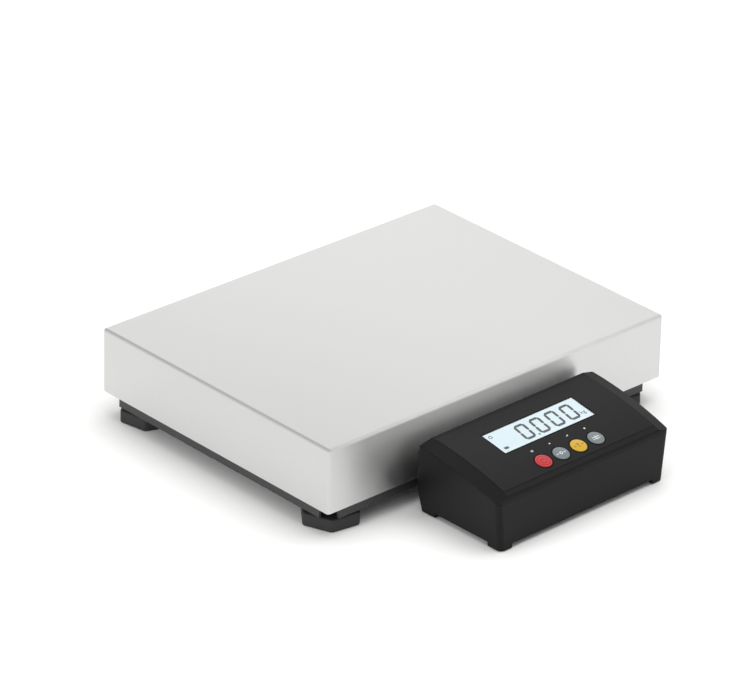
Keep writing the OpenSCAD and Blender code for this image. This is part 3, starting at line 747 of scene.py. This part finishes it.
def tare_sign():
    """A T between two lines."""
    post, top = 4.4, 3.2
    return side_arms() + [
        bar("post", LINE, post, KEY_INK), bar("top", top, LINE, KEY_INK, y=post / 2)
    ]


def mode_sign():
    """Two long lines crossed by an upright one."""
    length, apart, post = 8.4, 2.2, 5.2
    return [
        bar("upper", length, LINE, KEY_INK, y=apart / 2),
        bar("lower", length, LINE, KEY_INK, y=-apart / 2),
        bar("post", LINE, post, KEY_INK),
    ]


SIGNS = {"power": power_sign, "zero": zero_sign, "tare": tare_sign, "mode": mode_sign}


class BENCH_SCALE_OT_keys(bpy.types.Operator):
    """Moulds the four round keys with round rims and printed signs"""

    bl_idname = "bench_scale.keys"
    bl_label = "Keys"

    def execute(self, context):
        for k, (name, colour) in enumerate(KEYS.items()):
            node = f"key_{name}"
            cap = key_cap(f"{name}_key", context.scene.bench_scale_sizes.key_rim)
            place(cap, on_face(key_x(k), KEY_S))
            give(cap, f"{colour}_silicone", node, f"key_{colour}", node)
            sign = join(f"{name}_sign", SIGNS[name]())
            place(sign, on_face(key_x(k), KEY_S, KEY_PROUD + KEY_INK / 2))
            print_finish = "screen_print" if colour == "grey" else "dark_print"
            give(sign, print_finish, node, f"key_{colour}")
        return {"FINISHED"}


# ink on the film: its thickness, and how far the small marks lie behind the keys' middles
FILM_INK = 0.04 * MM
MARKS_BACK = 14.3 * MM
# the painted shade of the window's recess, a black line round the window: its width, its gap to the
# window, and the short lengths in which it is laid at each side to follow the face's curve
SHADE_LINE = 1.0 * MM
SHADE_LINE_GAP = 0.25 * MM
SIDE_SHADE_LENGTHS = 4
# the painted shade round each key, a black ring just outside its cap
GAP_SHADE_OUTER = 9.0 * MM
GAP_SHADE_INNER = 8.05 * MM


def small_marks():
    """A small mark for each key: two lines, a triangle, a hooked line and a square."""
    line = 0.5
    lines = [bar("bar", 2.6, line, FILM_INK, y=y) for y in (-0.6, 0.6)]
    triangle = disc("up", 1.1 * MM, FILM_INK, sides=3)
    hook = [bar("run", 2.4, line, FILM_INK), bar("rise", line, 1.6, FILM_INK, 1.0, 0.6)]
    square = bar("dot", 1.5, 1.5, FILM_INK)
    marks = []
    for k, parts in enumerate((lines, [triangle], hook, [square])):
        at = on_face(key_x(k), KEY_S + MARKS_BACK, FILM_INK / 2)
        marks.append(place(join("mark", parts), at))
    return marks


def window_recess_shade():
    """Painted shade of the window's recess: a black line round the window, laid in straight lengths on
    the bowed face.
    """
    out = SHADE_LINE_GAP + SHADE_LINE / 2
    shade_lines = []
    for side in (-1, 1):
        s = WINDOW_S + side * (WINDOW.y / 2 + out)
        rule = block("rule", (WINDOW.x + 2 * out + SHADE_LINE, SHADE_LINE, FILM_INK))
        shade_lines.append(place(rule, on_face(0, s, FILM_INK / 2)))
        for k in range(SIDE_SHADE_LENGTHS):
            s = WINDOW_S + ((k + 0.5) / SIDE_SHADE_LENGTHS - 0.5) * WINDOW.y
            rule = block("rule", (SHADE_LINE, WINDOW.y / SIDE_SHADE_LENGTHS, FILM_INK))
            shade_lines.append(place(rule, on_face(side * (WINDOW.x / 2 + out), s, FILM_INK / 2)))
    return shade_lines


def key_gap_shades():
    """A black ring of painted shade round each key, just outside its cap."""
    gap_shades = []
    for k in range(len(KEYS)):
        halo = ring("halo", GAP_SHADE_OUTER, GAP_SHADE_INNER, FILM_INK, 64)
        gap_shades.append(place(halo, on_face(key_x(k), KEY_S, FILM_INK / 2)))
    return gap_shades


class BENCH_SCALE_OT_face_print(bpy.types.Operator):
    """Prints a small mark behind each key, and paints shade as black lines round the keys and the
    window
    """

    bl_idname = "bench_scale.face_print"
    bl_label = "Face print"

    def execute(self, context):
        marks = join("face_marks", small_marks())
        give(marks, "screen_print", "indicator", "overlay")
        # black lines of painted shade round the window and the keys
        lines = join("face_lines", window_recess_shade() + key_gap_shades())
        give(lines, "black_print", "indicator", "overlay")
        return {"FINISHED"}


# ---------- finishes of the frame's own nodes ----------

NODE_FINISHES = {
    "rolled_stainless_304": ["pan_ribs", "pan_rings"],
    "moulded_rubber": ["pan_bumpers", "cable_grommet", "leg_pads"],
    "grey_powder_coat": ["top_rails", "top_plate"],
    "moulded_nylon": [
        "rail_caps", "level_body", "lcd_holder", "key_switches", "buzzer", "dc_jack",
        "cable_inlet", "inlet_nut", "battery_pack",
    ],
    "bright_zinc_plate": [
        "upper_spacer", "cell_top_bolts", "lower_spacer", "cell_base_bolts", "stop_screws",
        "stop_nuts", "weld_nuts", "foot_stud_1", "foot_stud_2", "foot_stud_3", "foot_stud_4",
        "shell_screws", "board_screws",
    ],
    "turned_brass": ["jam_nuts"],
    "milled_aluminium": ["load_cell"],
    "cast_silicone": ["cell_cover"],
    "black_powder_coat": ["base_plate", "base_channels"],
    "clear_acrylic": ["level_vial"],
    "spark_textured_abs": ["bottom_shell", "lid", "battery_door"],
    "velvet_polyester_film": ["face_overlay"],
    "opal_acrylic": ["lcd_backlight"],
    "solder_mask": ["display_board", "key_board"],
}


class BENCH_SCALE_OT_node_finishes(bpy.types.Operator):
    """Gives every remaining node of the frame its finish"""

    bl_idname = "bench_scale.node_finishes"
    bl_label = "Node finishes"

    def execute(self, context):
        for material, names in NODE_FINISHES.items():
            for name in names:
                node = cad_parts[name]
                node.data.materials.clear()
                node.data.materials.append(bpy.data.materials[material])
        return {"FINISHED"}


# ---------- stage ----------

# the lights: name, power in watts, size and place in metres, and whether reflections show it
LIGHTS = (
    ("overhead", 44, 2.4, (0.3, -0.2, 2.4), False),
    ("left", 40, 1.6, (-2.6, 0.2, 0.6), False),
    ("behind", 24, 3.4, (2.5, 2.7, 1.9), True),
    ("bend line", 4.5, 1.0, (1.8, -1.4, 2.0), True),
)
WORLD_STRENGTH = 0.62
TABLE_SIZE = 16.0

# the camera's place from the pan's front left upper corner, its turn to the right of straight
# ahead, its drop below the level and its roll in degrees, and its lens in millimetres
CAMERA_SHIFT = Vector((-2663.22, -2918.15, 2124.0)) * MM
CAMERA_TURN = 42.946
CAMERA_DROP = 27.160
CAMERA_ROLL = 1.389
CAMERA_LENS = 252.8
CAMERA_REACH = 100.0


def add_light(name, power, size, at, mirrored):
    """A soft square light aimed at the scale, which reflections show or don't."""
    start()
    bpy.ops.object.light_add(type="AREA", location=at)
    lamp = bpy.context.object
    lamp.name = name
    lamp.data.energy = power
    lamp.data.size = size
    lamp.visible_glossy = mirrored
    lamp.rotation_euler = (-Vector(at)).to_track_quat("-Z", "Y").to_euler()


def add_table():
    """A wide table of matt white card."""
    start()
    bpy.ops.mesh.primitive_plane_add(size=TABLE_SIZE)
    table = bpy.context.object
    table.name = "table"
    # matt white card: an even pale ground without a shine
    material = finish("matt_white_card", "table", 0.85, 30.0, 0.0, tone=0.004, sheen=0.02)
    table.data.materials.append(material)


def light_room():
    """An even white room round the scale."""
    world = bpy.data.worlds.new("studio")
    world.use_nodes = True
    background = world.node_tree.nodes["Background"]
    background.inputs["Color"].default_value = (1, 1, 1, 1)
    background.inputs["Strength"].default_value = WORLD_STRENGTH
    bpy.context.scene.world = world


def add_camera():
    """The camera, with a long lens, looking down at the scale over its front left corner."""
    start()
    low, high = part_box("pan")
    eye = Vector((low.x, low.y, high.z)) + CAMERA_SHIFT
    bpy.ops.object.camera_add()
    camera = bpy.context.object
    turn = Matrix.Rotation(math.radians(-CAMERA_TURN), 4, "Z")
    dip = Matrix.Rotation(math.radians(90 - CAMERA_DROP), 4, "X")
    roll = Matrix.Rotation(math.radians(CAMERA_ROLL), 4, "Z")
    camera.matrix_world = Matrix.Translation(eye) @ turn @ dip @ roll
    camera.data.lens = CAMERA_LENS
    camera.data.clip_end = CAMERA_REACH
    bpy.context.scene.camera = camera


class BENCH_SCALE_OT_stage(bpy.types.Operator):
    """Sets the pale table, the soft light and the camera"""

    bl_idname = "bench_scale.stage"
    bl_label = "Stage"

    def execute(self, context):
        add_table()
        light_room()
        for light in LIGHTS:
            add_light(*light)
        add_camera()
        context.scene.view_settings.view_transform = "Standard"
        return {"FINISHED"}


class BENCH_SCALE_PT_sidebar(bpy.types.Panel):
    """Lists the scale's pieces and the sizes and colours that can be changed"""

    bl_idname = "BENCH_SCALE_PT_sidebar"
    bl_label = "Bench scale"
    bl_space_type = "VIEW_3D"
    bl_region_type = "UI"
    bl_category = "Bench scale"

    def draw(self, context):
        for kind in PIECES:
            self.layout.operator(kind.bl_idname)
        for group in (context.scene.bench_scale_sizes, context.scene.bench_scale_colours):
            box = self.layout.box()
            for name in group.__annotations__:
                box.prop(group, name)


PIECES = (
    BENCH_SCALE_OT_stage,
    BENCH_SCALE_OT_load_pan,
    BENCH_SCALE_OT_feet,
    BENCH_SCALE_OT_display,
    BENCH_SCALE_OT_keys,
    BENCH_SCALE_OT_face_print,
    BENCH_SCALE_OT_node_finishes,
)
CLASSES = (BenchScaleColours, BenchScaleSizes, *PIECES, BENCH_SCALE_PT_sidebar)


def register():
    """Registers the classes and their settings."""
    for kind in CLASSES:
        bpy.utils.register_class(kind)
    bpy.types.Scene.bench_scale_colours = PointerProperty(type=BenchScaleColours)
    bpy.types.Scene.bench_scale_sizes = PointerProperty(type=BenchScaleSizes)


def unregister():
    """Removes the classes and their settings."""
    del bpy.types.Scene.bench_scale_sizes
    del bpy.types.Scene.bench_scale_colours
    for kind in reversed(CLASSES):
        bpy.utils.unregister_class(kind)


def main():
    """Builds the scale."""
    register()
    make_finishes()
    for kind in PIECES:
        group, name = kind.bl_idname.split(".")
        getattr(getattr(bpy.ops, group), name)()


if __name__ == "__main__":
    main()
